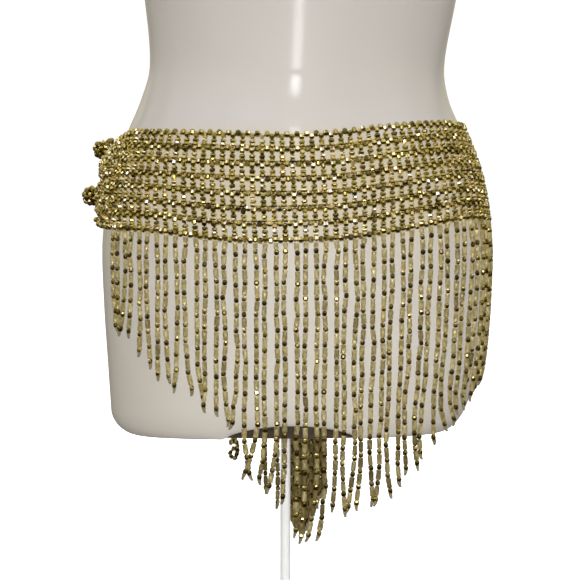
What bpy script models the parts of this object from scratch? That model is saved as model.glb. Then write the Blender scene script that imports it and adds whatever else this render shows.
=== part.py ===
"""A bead-net hip belt with a long beaded fringe, worn on a limbless torso form on a pole and disc.

Frame: metres, +Z up, +X towards the form's left hip, -Y towards its front. The origin is on the
disc's underside, below the belt's middle. The belt is one strip of netting that runs from its front
end, at the form's right hip (-X), across the front, round the left hip (+X) and the back, to its back
end at -X again.
"""

import math

import bmesh
import bpy
from mathutils import Matrix, Vector

# Torso form. Its middle shifts sideways with height, because one hip is cocked.
TORSO_SECTIONS = [
    # height, half width, front, back, shift
    (0.170, 0.1590, 0.0960, 0.1010, -0.0070),
    (0.200, 0.1620, 0.0980, 0.1070, -0.0060),
    (0.230, 0.1670, 0.1005, 0.1120, -0.0030),
    (0.285, 0.1715, 0.1045, 0.1180, -0.0020),
    (0.340, 0.1725, 0.1060, 0.1170, -0.0020),
    (0.395, 0.1645, 0.1020, 0.1070, -0.0020),
    (0.435, 0.1505, 0.0950, 0.0925, -0.0020),
    (0.465, 0.1380, 0.0885, 0.0820, -0.0020),
    (0.495, 0.1320, 0.0845, 0.0770, 0.0000),
    (0.555, 0.1395, 0.0870, 0.0790, 0.0030),
    (0.612, 0.1490, 0.0930, 0.0850, 0.0035),
]
TORSO_BOTTOM = 0.1685  # of the rim on +X
LOW_HIP_DROP = 0.0030  # how much lower the rim is on -X
TORSO_TOP = TORSO_SECTIONS[-1][0]
TORSO_SIDES = 48
SECTION_ROUNDNESS = 2.1  # superellipse exponent of a horizontal section; 2 is an ellipse
TOP_EDGE_RADIUS = 0.024
RIM_HEIGHT_LOW_HIP = 0.022  # height of the bottom edge's rounding on -X
RIM_HEIGHT_HIGH_HIP = 0.040  # and on +X
RIM_INSET_SIDE = 0.024
RIM_INSET_FRONT = 0.009
RIM_FLAT = 0.002  # from the end of the rounding to the recess
RECESS_DEPTH = 0.0153  # above TORSO_BOTTOM; the base plate fills it
PLATE_BOTTOM = 0.1690
PLATE_CLEARANCE = 0.0010
ARCH_HEIGHT = 0.0117  # the front rim rises this much in the middle
ARCH_REACH = 0.040  # the wall above follows the arch this far up
ARCH_HALF_WIDTH = 0.058
ARCH_MIDDLE = -0.005
ARCH_FULLNESS = 0.7  # below 1, the arch is flatter in its middle and steeper at its ends
TURN_STEP = 0.01  # to each side of a point, for the direction of the surface there

# Stand
DISC_RADIUS = 0.110
DISC_THICKNESS = 0.008
DISC_BEVEL = 0.002
POLE_RADIUS = 0.0045
STAND_MIDDLE = -0.0105  # the stand is a little to one side of the belt's middle
SEAM_GAP = 0.0003

# Netting: bead columns run down the strip, bead rows run along it.
BEAD = 0.0040
COLUMNS_AROUND = 106  # columns that a closed turn would have
LAST_COLUMN = 105
EVEN_HEIGHT = 0.390  # where the columns are evenly spaced
ROWS = 8
END_MARGIN = 0.25  # columns that the strip reaches past its first and last column
NET_OFFSET = 0.0030  # from the form's surface to the middle of the beads
RIB_RELIEF = 0.0009  # how far a bead row stands above the netting between rows
NET_STATIONS = 62

# How the belt sits: it dips at the front and is worn higher on the +X hip.
BELT_LINE = [
    # column, top row height, bottom row height
    (0, 0.4365, 0.3520),
    (10, 0.4330, 0.3500),
    (20, 0.4300, 0.3405),
    (26, 0.4285, 0.3405),
    (31, 0.4310, 0.3425),
    (36, 0.4360, 0.3485),
    (44, 0.4410, 0.3600),
    (48, 0.4405, 0.3605),
    (60, 0.4390, 0.3545),
    (105, 0.4365, 0.3520),
]

# The strip keeps its width where the form narrows, so its upper columns drift away from the front's
# middle. Each row: column, then how many columns on it lies than an even spacing from -X would put it.
COLUMN_DRIFT = [
    # column, at the top row, at the bottom row
    (0, 0.15, 0.15),
    (9, -1.35, 0.00),
    (16, -0.85, 0.45),
    (30, 0.25, 0.30),
    (36, 0.55, 0.00),
    (42, 0.65, 0.30),
    (48, 1.00, 0.90),
    (60, 0.80, 0.80),
    (105, 0.15, 0.15),
]

# The front end of the strip lifts off the form: extra offset of each row at the end itself.
FLARE_BY_ROW = [0.0040, 0.0030, 0.0065, 0.0050, 0.0030, 0.0022, 0.0015, 0.0000]
FLARE_COLUMNS = 6.0

# Fringe: one strand a column, hung from the bottom bead row.
FRINGE_OUTLINE = [
    # column, length
    (6, 0.090),
    (9, 0.098),
    (12, 0.130),
    (15, 0.137),
    (17, 0.152),
    (20, 0.162),
    (21, 0.206),
    (23, 0.206),
    (24, 0.215),
    (25, 0.226),
    (26, 0.256),
    (29, 0.258),
    (30, 0.236),
    (34, 0.236),
    (36, 0.229),
    (40, 0.203),
    (42, 0.186),
    (44, 0.172),
    (45, 0.171),
    (49, 0.151),
    (54, 0.142),
    (67, 0.165),
    (68, 0.255),
    (76, 0.285),
    (79, 0.300),
    (85, 0.285),
    (86, 0.185),
    (87, 0.281),
    (89, 0.255),
    (90, 0.180),
    (102, 0.097),
]
LENGTH_JITTER = 0.0030
STRAND_HALF = 0.0014  # half the side of a strand's square section
STRAND_STEP = 0.045
STRAND_TAPER = 0.75  # of the last section
SHOULDER_DROP = 0.006
PAIR_PULL = 0.0009  # each strand leans this much towards its partner
LONE_STRAND = 34  # the one strand without a partner: even columns pair with the next up to it
LEAN_LEFT_HIP = 0.035  # sideways lean of the strands on the +X half, per length
LEAN_RIGHT_HIP = 0.018
PAIR_DROP = 0.020  # below its root, where a strand has reached its lean
TIP_CURL = 0.0012
TIP_REACH = 0.030
SWAY = 0.0005
SWAY_LENGTH = 0.110
HIP_HUG = 0.85  # how closely the strands at the +X hip keep to the form as it narrows
FIRST_STRAND = 6  # the closure's own columns carry none
LAST_STRAND = 102
FRONT_LAST_COLUMN = 52

# Ties: two beaded balls on the strip's back end and the bead loops that hook over them.
BALLS = [
    # name, height, distance behind the hip line, radius, clear length of the neck
    ("upper", 0.422, 0.0150, 0.0088, 0.0065),
    ("lower", 0.380, 0.0150, 0.0092, 0.0032),
]
NECK_RADIUS = 0.0023
LOOP_TUBE_RADIUS = 0.0018
LOOP_HALF_LENGTH = 0.0130
LOOP_HALF_HEIGHT = 0.0112
LOOP_DROP = 0.0028
LOOP_BACKWARD = 0.0012  # from the ball's axis to the loop's middle, so it ends short of the netting
LOOP_PAST_NECK = 0.12  # of the ball's radius, which the loop's plane lies beyond the neck's end
LOOP_POINTS = 20


def clear_scene():
    for obj in list(bpy.data.objects):
        bpy.data.objects.remove(obj, do_unlink=True)


def material(name, colour, roughness, metallic):
    made = bpy.data.materials.new(name)
    made.use_nodes = True
    shader = made.node_tree.nodes["Principled BSDF"]
    shader.inputs["Base Color"].default_value = (*colour, 1.0)
    shader.inputs["Roughness"].default_value = roughness
    shader.inputs["Metallic"].default_value = metallic
    return made


def make_object(name, bm, finish):
    """Turns a closed bmesh into a named object, with its faces pointing outwards."""
    bmesh.ops.recalc_face_normals(bm, faces=bm.faces)
    mesh = bpy.data.meshes.new(name)
    bm.to_mesh(mesh)
    bm.free()
    mesh.materials.append(finish)
    mesh.shade_smooth()
    mesh.set_sharp_from_angle(angle=math.radians(35))
    obj = bpy.data.objects.new(name, mesh)
    bpy.context.scene.collection.objects.link(obj)
    return obj


def smooth_row(table, x):
    """Reads a table at x, with a cubic curve through its rows. The first column is x."""
    last = len(table) - 2
    k = next((i for i in range(last) if x < table[i + 1][0]), last)
    before, start, end, after = (table[min(max(k + d, 0), last + 1)] for d in (-1, 0, 1, 2))
    width = end[0] - start[0]
    f = min(max((x - start[0]) / width, 0.0), 1.0)
    values = []
    for p, a, b, n in zip(before[1:], start[1:], end[1:], after[1:]):
        slope_a = (b - p) * width / max(end[0] - before[0], width)
        slope_b = (n - a) * width / max(after[0] - start[0], width)
        values.append(
            (2 * f**3 - 3 * f**2 + 1) * a
            + (f**3 - 2 * f**2 + f) * slope_a
            + (3 * f**2 - 2 * f**3) * b
            + (f**3 - f**2) * slope_b
        )
    return values


def straight_row(table, x):
    """Reads a two-column table at x, with straight lines between its rows."""
    for (x0, y0), (x1, y1) in zip(table, table[1:]):
        if x <= x1:
            return y0 + (y1 - y0) * (x - x0) / (x1 - x0)
    return table[-1][1]


def section_point(turn, extents, outward):
    """A point of a horizontal section. turn is 0 at +X and a quarter at +Y (the back)."""
    *sizes, shift = extents
    half_width, front, back = (size + outward for size in sizes)
    c, s = math.cos(turn), math.sin(turn)
    power = 2 / SECTION_ROUNDNESS
    depth = back if s > 0 else front
    return Vector(
        (
            shift + half_width * math.copysign(abs(c) ** power, c),
            depth * math.copysign(abs(s) ** power, s),
            0.0,
        )
    )


def torso_point(turn, height, outward=0.0):
    point = section_point(turn, smooth_row(TORSO_SECTIONS, height), outward)
    point.z = height
    return point


def turn_table():
    """The turn at equal steps of arc length round the belt, from the hip line at -X, by the front."""
    height = EVEN_HEIGHT
    fine = 720
    turns = [math.pi + 2 * math.pi * k / fine for k in range(fine + 1)]
    points = [torso_point(turn, height, NET_OFFSET) for turn in turns]
    run = [0.0]
    for a, b in zip(points, points[1:]):
        run.append(run[-1] + (b - a).length)
    table, k = [], 0
    for step in range(COLUMNS_AROUND + 1):
        goal = run[-1] * step / COLUMNS_AROUND
        while k < fine - 1 and run[k + 1] < goal:
            k += 1
        share = (goal - run[k]) / (run[k + 1] - run[k])
        table.append((step, turns[k] + share * (turns[k + 1] - turns[k])))
    return table


TURNS = turn_table()


def column_turn(column, row):
    at_top, at_bottom = smooth_row(COLUMN_DRIFT, column)
    return straight_row(TURNS, column + at_top + (at_bottom - at_top) * row / (ROWS - 1))


def row_height(column, row):
    """Height of a bead row; row 0 is the top one, and fractions lie between rows."""
    top, bottom = smooth_row(BELT_LINE, column)
    return top + (bottom - top) * row / (ROWS - 1)


def flare(column, row):
    """How much further off the form the front end of the strip stands."""
    share = max(0.0, 1.0 - (column + END_MARGIN) / FLARE_COLUMNS)
    low = min(max(int(row), 0), ROWS - 2)
    at_end = FLARE_BY_ROW[low] + (FLARE_BY_ROW[low + 1] - FLARE_BY_ROW[low]) * (row - low)
    return at_end * share * share * (3 - 2 * share)


def net_point(column, row, outward=0.0, rise=0.0):
    """A point on the netting's middle surface, moved outward and up."""
    turn = column_turn(column, row)
    height = row_height(column, row) + rise
    return torso_point(turn, height, NET_OFFSET + flare(column, row) + outward)


def grid_surface(bm, around, along, place):
    """A grid whose first direction closes on itself; place(u, v) gives each vertex."""
    made = bmesh.ops.create_grid(bm, x_segments=around, y_segments=along, size=0.5)
    for vert in made["verts"]:
        u = round((vert.co.x + 0.5) * around) % around
        v = round((vert.co.y + 0.5) * along)
        vert.co = place(u, v)
    bmesh.ops.remove_doubles(bm, verts=bm.verts, dist=1e-7)
    bmesh.ops.holes_fill(bm, edges=bm.edges, sides=0)


def quarter_round(radius, steps):
    """(inset, drop) pairs round a quarter circle, from the edge of a flat end to the wall."""
    return [
        (radius * (1 - math.sin(a)), radius * (1 - math.cos(a)))
        for a in (math.pi / 2 * k / steps for k in range(steps + 1))
    ]


def rim_point(turn, height, extra_inset):
    """A point inside the rim, as far in as its rounding reaches and a little more."""
    half_width, front, back, shift = smooth_row(TORSO_SECTIONS, height)
    side_inset, front_inset = RIM_INSET_SIDE + extra_inset, RIM_INSET_FRONT + extra_inset
    extents = (half_width - side_inset, front - front_inset, back - front_inset, shift)
    point = section_point(turn, extents, 0.0)
    point.z = height
    return point


def build_torso(finish):
    """The form: closed on top, with a shallow recess for the plate in its underside."""
    wall_top = TORSO_TOP - TOP_EDGE_RADIUS
    wall_rings = 15
    rings = [("top", inset, drop) for inset, drop in quarter_round(TOP_EDGE_RADIUS, 4)]
    rings += [("wall", 0.0, k / wall_rings) for k in range(1, wall_rings)]
    rings += [("rim", inset, level) for inset, level in reversed(quarter_round(1.0, 5))]
    rings += [("lip", RIM_FLAT, 0.0), ("ceiling", 2 * RIM_FLAT, 0.0)]

    def place(u, v):
        zone, inset, level = rings[v]
        turn = 2 * math.pi * u / TORSO_SIDES
        share = (1 + math.cos(turn)) / 2
        bottom = TORSO_BOTTOM - LOW_HIP_DROP * (1 - share) ** 4
        rim_height = RIM_HEIGHT_LOW_HIP + (RIM_HEIGHT_HIGH_HIP - RIM_HEIGHT_LOW_HIP) * share
        if zone == "top":
            return torso_point(turn, TORSO_TOP - level, -inset)
        if zone == "ceiling":
            return rim_point(turn, TORSO_BOTTOM + RECESS_DEPTH, inset)
        if zone == "wall":
            height = wall_top + (bottom + rim_height - wall_top) * level
            point = torso_point(turn, height)
        elif zone == "rim":
            height = bottom + rim_height * level
            wall = torso_point(turn, height)
            point = wall + (rim_point(turn, height, 0.0) - wall) * inset
        else:
            height = bottom
            point = rim_point(turn, height, inset)
        if point.y < 0:
            arch = max(0.0, 1.0 - ((point.x - ARCH_MIDDLE) / ARCH_HALF_WIDTH) ** 2)
            follow = max(0.0, 1.0 - (height - bottom) / ARCH_REACH)
            point.z += ARCH_HEIGHT * arch**ARCH_FULLNESS * follow
        return point

    bm = bmesh.new()
    grid_surface(bm, TORSO_SIDES, len(rings) - 1, place)
    return make_object("torso_form", bm, finish)


def build_plate(finish):
    """The dark plate that closes the form's underside and carries it on the pole."""
    heights = (TORSO_BOTTOM + RECESS_DEPTH - SEAM_GAP, PLATE_BOTTOM)

    def place(u, v):
        point = rim_point(2 * math.pi * u / TORSO_SIDES, heights[0], 2 * RIM_FLAT + PLATE_CLEARANCE)
        point.z = heights[v]
        return point

    bm = bmesh.new()
    grid_surface(bm, TORSO_SIDES, 1, place)
    return make_object("base_plate", bm, finish)


def build_stand(finish):
    bm = bmesh.new()
    bmesh.ops.create_cone(
        bm, cap_ends=True, segments=48, radius1=DISC_RADIUS, radius2=DISC_RADIUS, depth=DISC_THICKNESS
    )
    rim = [e for e in bm.edges if all(v.co.z > 0 for v in e.verts)]
    bmesh.ops.bevel(
        bm, geom=rim, offset=DISC_BEVEL, offset_type="OFFSET", segments=2, profile=0.5,
        affect="EDGES", material=-1,
    )
    bmesh.ops.translate(bm, verts=bm.verts, vec=(STAND_MIDDLE, 0, DISC_THICKNESS / 2))
    make_object("stand_disc", bm, finish)

    low = DISC_THICKNESS + SEAM_GAP
    high = PLATE_BOTTOM - SEAM_GAP
    bm = bmesh.new()
    bmesh.ops.create_cone(
        bm, cap_ends=True, segments=20, radius1=POLE_RADIUS, radius2=POLE_RADIUS, depth=high - low
    )
    bmesh.ops.translate(bm, verts=bm.verts, vec=(STAND_MIDDLE, 0, (low + high) / 2))
    make_object("stand_pole", bm, finish)


def build_net(finish):
    """The netting down to its last gap: a wall one bead thick, ribbed where the bead rows run."""
    half = BEAD / 2
    lowest = ROWS - 1
    outer = [(0.0, half - RIB_RELIEF, half)]  # (row, outward, rise): the top edge
    for row in range(lowest):
        outer.append((row, half, 0.0))
        outer.append((row + 0.5, half - RIB_RELIEF, 0.0))
    outer.append((lowest, half - RIB_RELIEF, half + SEAM_GAP * 2))
    inner = [(lowest, -half, half + SEAM_GAP * 2)]
    inner += [(row, -half, 0.0) for row in (5.5, 4.0, 2.5, 1.2)]
    inner += [(0.0, -half, half)]
    loop = outer + inner
    span = LAST_COLUMN + 2 * END_MARGIN

    def place(u, v):
        row, outward, rise = loop[u]
        return net_point(-END_MARGIN + span * v / NET_STATIONS, row, outward, rise)

    bm = bmesh.new()
    grid_surface(bm, len(loop), NET_STATIONS, place)
    return make_object("net_band", bm, finish)


def jitter(column, channel):
    """An even spread of values from -1 to 1, the same for a column each time."""
    return 2 * ((column * 0.618034 + channel * 0.414214 + 0.137 * channel * column) % 1.0) - 1


def strand_length(column):
    return straight_row(FRINGE_OUTLINE, column) + LENGTH_JITTER * jitter(column, 1)


def strand_point(column, down):
    """A point on a strand, a distance down from the bottom row: it falls over the form's widest part."""
    turn = column_turn(column, ROWS - 1)
    root = row_height(column, ROWS - 1)
    height = root - down
    steps = 8
    passed = [
        smooth_row(TORSO_SECTIONS, max(TORSO_BOTTOM, root - down * k / steps)) for k in range(steps + 1)
    ]
    side = math.cos(turn)
    hug = HIP_HUG * max(0.0, side) ** 2
    widest = [max(values) for values in zip(*passed)]
    widest[-1] = passed[0][-1]
    fall = [wide + (local - wide) * hug for wide, local in zip(widest, passed[-1])]
    point = section_point(turn, fall, NET_OFFSET + flare(column, ROWS - 1))
    after, before = (section_point(turn + d, fall, NET_OFFSET) for d in (TURN_STEP, -TURN_STEP))
    tangent = (after - before).normalized()
    lean = -LEAN_LEFT_HIP * side if side > 0 else -LEAN_RIGHT_HIP * side
    ends_at = strand_length(column)
    side_of_pair = 1 if (column + (column > LONE_STRAND)) % 2 == 0 else -1
    partner = 0.0 if column == LONE_STRAND else PAIR_PULL * side_of_pair
    ease = min(1.0, down / PAIR_DROP)
    wave = SWAY * math.sin(2 * math.pi * (down / SWAY_LENGTH + jitter(column, 2)))
    curl = TIP_CURL * jitter(column, 3) * max(0.0, 1.0 + (down - ends_at) / TIP_REACH) ** 2
    across = partner * ease + wave * ease + curl
    point += tangent * across
    point.x += lean * down * abs(math.sin(turn))
    point.z = height
    return point, tangent


def build_fringe(name, first, last, finish):
    """The bottom bead row as a narrow strip, with a strand drawn out of it under each column."""
    half = BEAD / 2
    bottom_row = ROWS - 1
    edges = [column - 0.5 for column in range(first, last + 2)]
    trim = 0.03
    edges[0] = -END_MARGIN if first == 0 else edges[0] + trim
    edges[-1] = LAST_COLUMN + END_MARGIN if last == LAST_COLUMN else edges[-1] - trim
    corners = [(half, half), (half, -half), (-half, -half), (-half, half)]

    def place(u, v):
        outward, rise = corners[u]
        return net_point(edges[v], bottom_row, outward, rise)

    bm = bmesh.new()
    grid_surface(bm, len(corners), len(edges) - 1, place)
    bmesh.ops.recalc_face_normals(bm, faces=bm.faces)
    roots = [f for f in bm.faces if f.normal.z < -0.9 and len(f.verts) == 4]

    for column in range(max(first, FIRST_STRAND), min(last, LAST_STRAND) + 1):
        middle = net_point(column, bottom_row, 0.0, -half)
        face = min(roots, key=lambda f: (f.calc_center_median() - middle).length)
        roots.remove(face)
        length = strand_length(column)
        shoulder = half + SHOULDER_DROP
        steps = max(2, round((length - shoulder) / STRAND_STEP))
        drops = [shoulder + (length - shoulder) * k / steps for k in range(steps + 1)]
        for drop in drops:
            point, tangent = strand_point(column, drop)
            outward = Vector((-tangent.y, tangent.x, 0.0))
            centre = face.calc_center_median()
            face = bmesh.ops.extrude_discrete_faces(bm, faces=[face])["faces"][0]
            size = STRAND_HALF * (STRAND_TAPER if drop == drops[-1] else 1.0)
            for vert in face.verts:
                rel = vert.co - centre
                along = math.copysign(size, rel.dot(tangent))
                off = math.copysign(size, rel.dot(outward))
                vert.co = point + tangent * along + outward * off
    return make_object(name, bm, finish)


def ball_frame(height, behind):
    """The point on the belt's back end under a ball, and the way the ball points."""
    turn = math.pi - math.asin(behind / (smooth_row(TORSO_SECTIONS, height)[2] + NET_OFFSET))
    face = torso_point(turn, height, NET_OFFSET + BEAD / 2)
    step = torso_point(turn + TURN_STEP, height) - torso_point(turn - TURN_STEP, height)
    outward = Vector((step.y, -step.x, 0.0)).normalized()
    return face, outward


def build_ball(name, height, behind, radius, neck, finish):
    """A ball on a short neck, turned about its own axis and pointed away from the hip."""
    face, outward = ball_frame(height, behind)
    centre = SEAM_GAP + neck + radius
    meet = math.asin(NECK_RADIUS / radius)
    rings = 7
    profile = [(0.0, SEAM_GAP), (NECK_RADIUS, SEAM_GAP)]
    for k in range(rings + 1):
        angle = meet + (math.pi - meet) * k / rings
        profile.append((radius * math.sin(angle), centre - radius * math.cos(angle)))
    profile[-1] = (0.0, centre + radius)

    bm = bmesh.new()
    verts = [bm.verts.new((r, 0.0, z)) for r, z in profile]
    edges = [bm.edges.new(pair) for pair in zip(verts, verts[1:])]
    bmesh.ops.spin(
        bm, geom=verts + edges, cent=(0, 0, 0), axis=(0, 0, 1), angle=2 * math.pi, steps=14, use_merge=True
    )
    bmesh.ops.remove_doubles(bm, verts=bm.verts, dist=1e-6)
    turn = Vector((0, 0, 1)).rotation_difference(outward).to_matrix().to_4x4()
    bmesh.ops.transform(bm, matrix=Matrix.Translation(face) @ turn, verts=bm.verts)
    return make_object(name, bm, finish)


def build_loop(name, height, behind, radius, neck, finish):
    """A closed bead loop that leaves the strip's front end and passes behind the ball."""
    face, outward = ball_frame(height, behind)
    plane = face + outward * (SEAM_GAP + neck + radius * LOOP_PAST_NECK)
    level = Vector((outward.y, -outward.x, 0.0))
    forward = level if level.y < 0 else -level
    centre = plane - forward * LOOP_BACKWARD - Vector((0, 0, LOOP_DROP))
    curve = bpy.data.curves.new(name, "CURVE")
    curve.dimensions = "3D"
    curve.bevel_depth = LOOP_TUBE_RADIUS
    curve.bevel_resolution = 1
    spline = curve.splines.new("POLY")
    spline.points.add(LOOP_POINTS - 1)
    spline.use_cyclic_u = True
    for k, point in enumerate(spline.points):
        angle = 2 * math.pi * k / LOOP_POINTS
        place = centre + forward * LOOP_HALF_LENGTH * math.cos(angle)
        place.z += LOOP_HALF_HEIGHT * math.sin(angle)
        point.co = (*place, 1.0)
    curve.materials.append(finish)
    obj = bpy.data.objects.new(name, curve)
    bpy.context.scene.collection.objects.link(obj)
    return obj


def main():
    clear_scene()
    white = material("white_gloss", (0.72, 0.70, 0.66), 0.18, 0.0)
    enamel = material("white_enamel", (0.80, 0.80, 0.78), 0.30, 0.0)
    gold = material("gold_beads", (0.50, 0.43, 0.20), 0.25, 0.9)
    pale_gold = material("gold_fringe", (0.62, 0.54, 0.32), 0.30, 0.6)
    dark = material("dark_wood", (0.07, 0.05, 0.035), 0.6, 0.0)
    build_torso(white)
    build_plate(dark)
    build_stand(enamel)
    build_net(gold)
    build_fringe("fringe_front", 0, FRONT_LAST_COLUMN, pale_gold)
    build_fringe("fringe_back", FRONT_LAST_COLUMN + 1, LAST_COLUMN, pale_gold)
    for name, *sizes in BALLS:
        build_ball(f"tie_ball_{name}", *sizes, gold)
        build_loop(f"tie_loop_{name}", *sizes, gold)


main()
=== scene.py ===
"""The looks of a bead-net hip belt with a long beaded fringe, worn on a limbless torso form on a stand.

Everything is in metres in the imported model's frame: +Z up, -Y the front, +X the form's left hip. The
belt is one strip of netting. Its columns run from its front end at -X across the front, round +X and
the back, to its back end at -X again. Its rows run along it, from 0 at the top to 7 at the bottom.
"""

import math
import random

import bmesh
import bpy
from mathutils import Matrix, Vector


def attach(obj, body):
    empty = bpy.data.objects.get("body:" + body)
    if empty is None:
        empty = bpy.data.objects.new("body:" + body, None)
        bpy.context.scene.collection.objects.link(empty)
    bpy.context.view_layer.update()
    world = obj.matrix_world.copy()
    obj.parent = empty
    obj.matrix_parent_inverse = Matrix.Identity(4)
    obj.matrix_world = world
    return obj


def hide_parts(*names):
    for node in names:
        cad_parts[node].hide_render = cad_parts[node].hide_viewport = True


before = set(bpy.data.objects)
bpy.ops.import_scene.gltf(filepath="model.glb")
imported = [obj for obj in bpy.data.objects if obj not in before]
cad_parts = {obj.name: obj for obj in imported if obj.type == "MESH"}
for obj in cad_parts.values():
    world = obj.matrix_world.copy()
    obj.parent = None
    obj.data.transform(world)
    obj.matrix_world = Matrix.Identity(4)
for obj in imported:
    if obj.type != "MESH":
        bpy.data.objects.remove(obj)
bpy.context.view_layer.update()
rng = random.Random(41)

# ------------------------ the form's shape

TORSO_SECTIONS = [
    # height, half width, front, back, shift
    (0.170, 0.1590, 0.0960, 0.1010, -0.0070),
    (0.200, 0.1620, 0.0980, 0.1070, -0.0060),
    (0.230, 0.1670, 0.1005, 0.1120, -0.0030),
    (0.285, 0.1715, 0.1045, 0.1180, -0.0020),
    (0.340, 0.1725, 0.1060, 0.1170, -0.0020),
    (0.395, 0.1645, 0.1020, 0.1070, -0.0020),
    (0.435, 0.1505, 0.0950, 0.0925, -0.0020),
    (0.465, 0.1380, 0.0885, 0.0820, -0.0020),
    (0.495, 0.1320, 0.0845, 0.0770, 0.0000),
    (0.555, 0.1395, 0.0870, 0.0790, 0.0030),
    (0.612, 0.1490, 0.0930, 0.0850, 0.0035),
]
TORSO_BOTTOM = 0.1685  # of the rim on +X
LOW_HIP_DROP = 0.0030  # how much lower the rim is on -X
LOW_HIP_POWER = 4  # keeps that drop near the hip
TORSO_TOP = TORSO_SECTIONS[-1][0]
TORSO_SIDES = 192
TORSO_WALL_RINGS = 72
TOP_EDGE_STEPS = 10
RIM_STEPS = 14
SECTION_ROUNDNESS = 2.1  # superellipse exponent of a horizontal section; 2 is an ellipse
TOP_EDGE_RADIUS = 0.024
RIM_HEIGHT_LOW_HIP = 0.022  # how far above the rim its rounding starts
RIM_HEIGHT_HIGH_HIP = 0.040
RIM_INSET_SIDE = 0.024  # and how far in from the wall it ends
RIM_INSET_FRONT = 0.009
RIM_FLAT = 0.002
RECESS_DEPTH = 0.0153
PLATE_BOTTOM = 0.1690
PLATE_CLEARANCE = 0.0010
ARCH_HEIGHT = 0.0117  # of the arch in the front rim
ARCH_REACH = 0.040  # how far up the form it is felt
ARCH_HALF_WIDTH = 0.058
ARCH_MIDDLE = -0.005
ARCH_FULLNESS = 0.7  # 1 is a parabola, and less has a flatter top
TURN_STEP = 0.01  # to each side of a turn, to find which way a section runs there

DISC_RADIUS = 0.110
DISC_THICKNESS = 0.008
DISC_BEVEL = 0.002
DISC_SIDES = 128
POLE_RADIUS = 0.0045
POLE_SIDES = 48
STAND_MIDDLE = -0.0105  # the stand is a little to one side of the belt's middle
SEAM_GAP = 0.0003

# ------------------------ the strip's lie

COLUMNS_AROUND = 106
LAST_COLUMN = 105
EVEN_HEIGHT = 0.390  # where the columns are evenly spaced, but for their drift
ROWS = 8
NET_OFFSET = 0.0030  # of the netting's middle from the form
END_MARGIN = 0.25  # of a column, before the first one

BELT_LINE = [
    # column, top row height, bottom row height
    (0, 0.4365, 0.3520), (10, 0.4330, 0.3500), (20, 0.4300, 0.3405), (26, 0.4285, 0.3405),
    (31, 0.4310, 0.3425), (36, 0.4360, 0.3485), (44, 0.4410, 0.3600), (48, 0.4405, 0.3605),
    (60, 0.4390, 0.3545), (105, 0.4365, 0.3520),
]

COLUMN_DRIFT = [
    # column, at the top row, at the bottom row
    (0, 0.15, 0.15), (9, -1.35, 0.00), (16, -0.85, 0.45), (30, 0.25, 0.30), (36, 0.55, 0.00),
    (42, 0.65, 0.30), (48, 1.00, 0.90), (60, 0.80, 0.80), (105, 0.15, 0.15),
]

# How much further off the form the front end stands, row by row, and where that fades out.
FLARE_BY_ROW = [0.0040, 0.0030, 0.0065, 0.0050, 0.0030, 0.0022, 0.0015, 0.0000]
FLARE_COLUMNS = 6.0

FRINGE_OUTLINE = [
    # column, length
    (6, 0.090), (9, 0.098), (12, 0.130), (15, 0.137), (17, 0.152), (20, 0.162), (21, 0.206),
    (23, 0.206), (24, 0.215), (25, 0.226), (26, 0.256), (29, 0.258), (30, 0.236), (34, 0.236),
    (36, 0.229), (40, 0.203), (42, 0.186), (44, 0.172), (45, 0.171), (49, 0.151), (54, 0.142),
    (67, 0.165), (68, 0.255), (76, 0.285), (79, 0.300), (85, 0.285), (86, 0.185), (87, 0.281),
    (89, 0.255), (90, 0.180), (102, 0.097),
]
LENGTH_JITTER = 0.0030
PAIR_PULL = 0.0009  # strands hang in pairs, each drawn this much towards its partner
PAIR_DROP = 0.020  # and draw together over this much fall
LONE_STRAND = 34
LEAN_LEFT_HIP = 0.035  # inwards for each metre of fall
LEAN_RIGHT_HIP = 0.018
TIP_CURL = 0.0012
TIP_REACH = 0.030  # the part of a strand that curls
SWAY = 0.0005
SWAY_LENGTH = 0.110
HIP_HUG = 0.85  # how closely strands at the left hip follow the form in again below it
FIRST_STRAND = 6
LAST_STRAND = 102
FRONT_LAST_COLUMN = 52

BALLS = [
    # name, height, distance behind the hip line, radius, clear length of the neck
    ("upper", 0.422, 0.0150, 0.0088, 0.0065),
    ("lower", 0.380, 0.0150, 0.0092, 0.0032),
]
BALL_BEADS = 27
BALL_BEAD_SUNK = 0.42  # of a bead's width, from the ball's outside to the beads' middles
BALL_CORE = 1.9  # its width for each metre of the beads' reach
LOOP_HALF_LENGTH = 0.0130
LOOP_HALF_HEIGHT = 0.0112
LOOP_DROP = 0.0028
LOOP_BACKWARD = 0.0012
LOOP_PAST_NECK = 0.12  # of the ball's radius
LOOP_BEADS = 19

# ------------------------ the beads

BEAD_WIDTH = 0.0055  # over its corners
COLUMN_BEAD_WIDTH = 0.0057
ROW_BEAD_WIDTH = 0.0061
ROW_BEAD_SHORTER = 0.0035  # than a column is wide
ROW_BEAD_LENGTHS = (0.0026, 0.0048)  # the least and the most
COLUMN_BEADS = 2  # from one row to the next
COLUMN_BEAD_LEAST = 0.0032
COLUMN_BEAD_FILL = 1.08  # of its share of the gap, because the rounded ends of beads nest
AXIS_REACH = 0.3  # of a row, to each side, to find which way a column runs
ZIGZAG = 0.0011  # a row's beads on a column sit this much lower, and those between columns higher
BOTTOM_ZIGZAG = -0.0005  # slight in the bottom row, and the other way round
BEAD_TILT = 0.16
BUNCHED_TILT = 0.5  # and this much more where the strip is bunched
BEAD_FULLNESS = 0.55  # 1 is a sphere, and less is more like a barrel

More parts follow.
